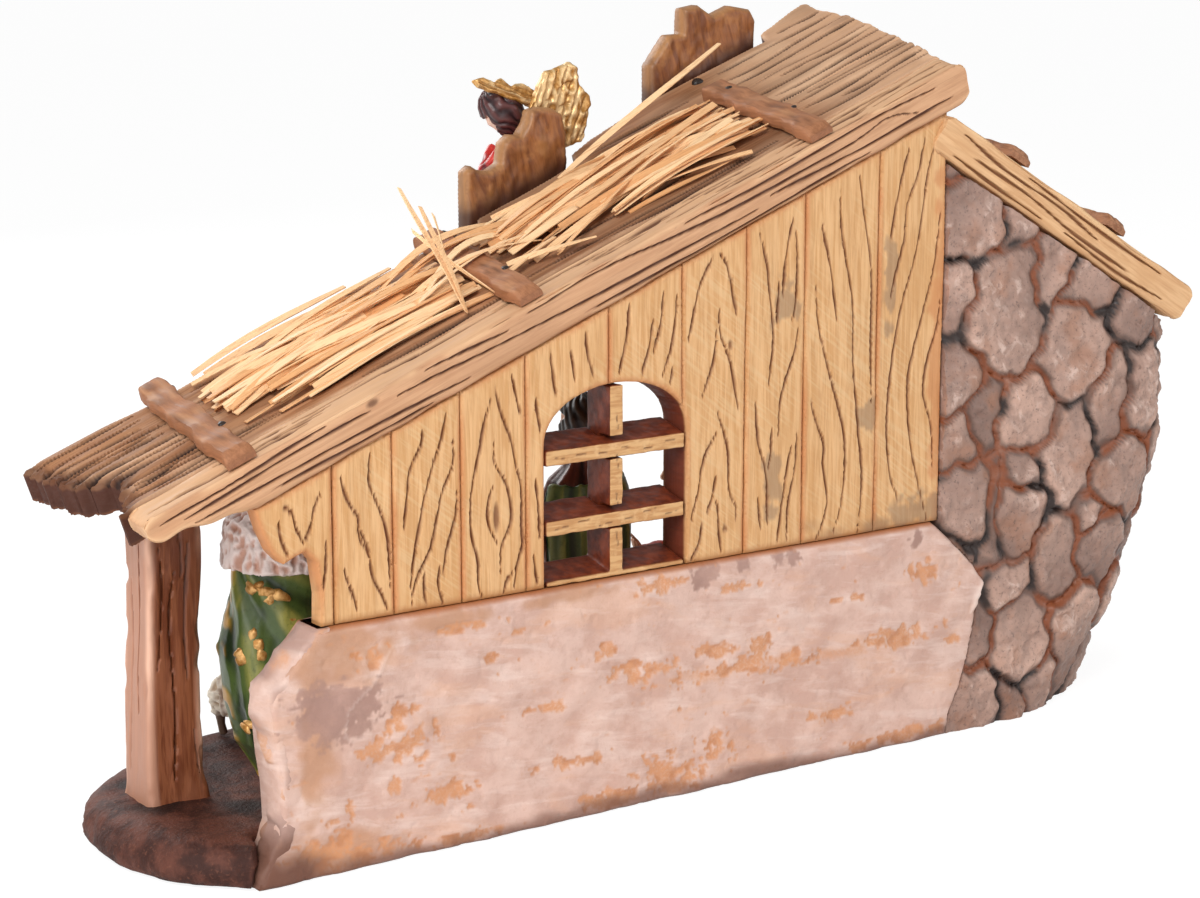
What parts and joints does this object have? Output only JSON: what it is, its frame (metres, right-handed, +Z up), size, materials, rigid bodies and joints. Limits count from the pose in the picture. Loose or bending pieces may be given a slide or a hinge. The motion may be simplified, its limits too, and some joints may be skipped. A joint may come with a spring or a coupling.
{
  "type": "nativity scene",
  "caption": "Cast crib scene: a leaning plank stable with a rendered wall, field-stone end, arched window and straw on its roof, sheltering the traditional figures.",
  "frame": {"origin": "on the flat underside of the base, below the middle of the scene", "axes": "+X along the stable towards its low open end, +Y out of the back wall, +Z up; the figures face -Y"},
  "size_m": [0.3081, 0.096, 0.1785],
  "materials": {
    "verge": "tan painted board edge with long grain grooves",
    "deck": "weathered brown-grey painted boards with dark cracks",
    "batten": "reddish-brown painted batten, slightly worn on its edges",
    "straw": "natural dried raffia straw, satin",
    "plank": "worn honey-yellow painted boards with dark carved grain",
    "crest": "orange-brown painted board with pale worn edges",
    "plaster": "matt pinkish-white distressed render over orange-brown",
    "reveal": "dark reddish-brown painted window bar",
    "stone": "matt grey-brown field stones with orange-brown joints",
    "ground": "matt dark brown earth",
    "post": "reddish-brown painted hewn post",
    "crimson": "satin deep red painted cloth",
    "green": "satin deep green painted cloth with gold details",
    "fleece": "matt pinkish-white curly fleece",
    "skin": "satin painted skin",
    "gold": "satin antique gold paint",
    "ochre": "matt ochre painted cloth",
    "umber": "satin dark brown painted cloth",
    "blue": "satin deep blue painted cloth",
    "ivory": "matt ivory painted cloth",
    "oxhide": "matt brown painted coat",
    "donkeyhide": "matt grey painted coat",
    "wool": "matt cream painted wool"
  },
  "bodies": {
    "root": {"roof_verge_board": "verge", "roof_board_rear": "deck", "roof_board_front": "deck", "roof_batten_low": "batten", "roof_batten_middle": "batten", "roof_batten_high": "batten", "straw_bundle_low": "straw", "straw_bundle_high": "straw", "short_roof_verge_board": "plank", "short_roof_deck": "deck", "short_roof_batten_high": "batten", "short_roof_batten_low": "batten", "crest_board_low": "crest", "crest_board_high": "crest", "plaster_wall": "plaster", "back_plank_01": "plank", "back_plank_02": "plank", "back_plank_03": "plank", "back_plank_04": "plank", "back_plank_05": "plank", "back_plank_06": "plank", "back_plank_07": "plank", "back_plank_08": "plank", "back_plank_09": "plank", "back_plank_10": "plank", "window_mullion": "reveal", "window_bar_lower": "reveal", "window_bar_upper": "reveal", "stone_wall_back": "stone", "stone_wall_side": "stone", "base": "ground", "front_post": "post", "green_king_robe": "crimson", "green_king_cape": "green", "green_king_collar": "fleece", "green_king_head": "skin", "green_king_crown": "gold", "green_king_gift": "gold", "kneeling_king_robe": "ochre", "kneeling_king_cape": "umber", "kneeling_king_head": "skin", "joseph_robe": "umber", "joseph_mantle": "green", "joseph_head": "skin", "joseph_staff": "batten", "mary_dress": "crimson", "mary_mantle": "blue", "mary_head": "skin", "mary_veil": "ivory", "manger": "deck", "manger_straw": "straw", "infant": "ivory", "ox": "oxhide", "donkey": "donkeyhide", "sheep_near_donkey": "wool", "sheep_near_kings": "wool", "angel_gown": "crimson", "angel_head": "skin", "angel_wing_right": "gold", "angel_wing_left": "gold"}
  },
  "joints": []
}
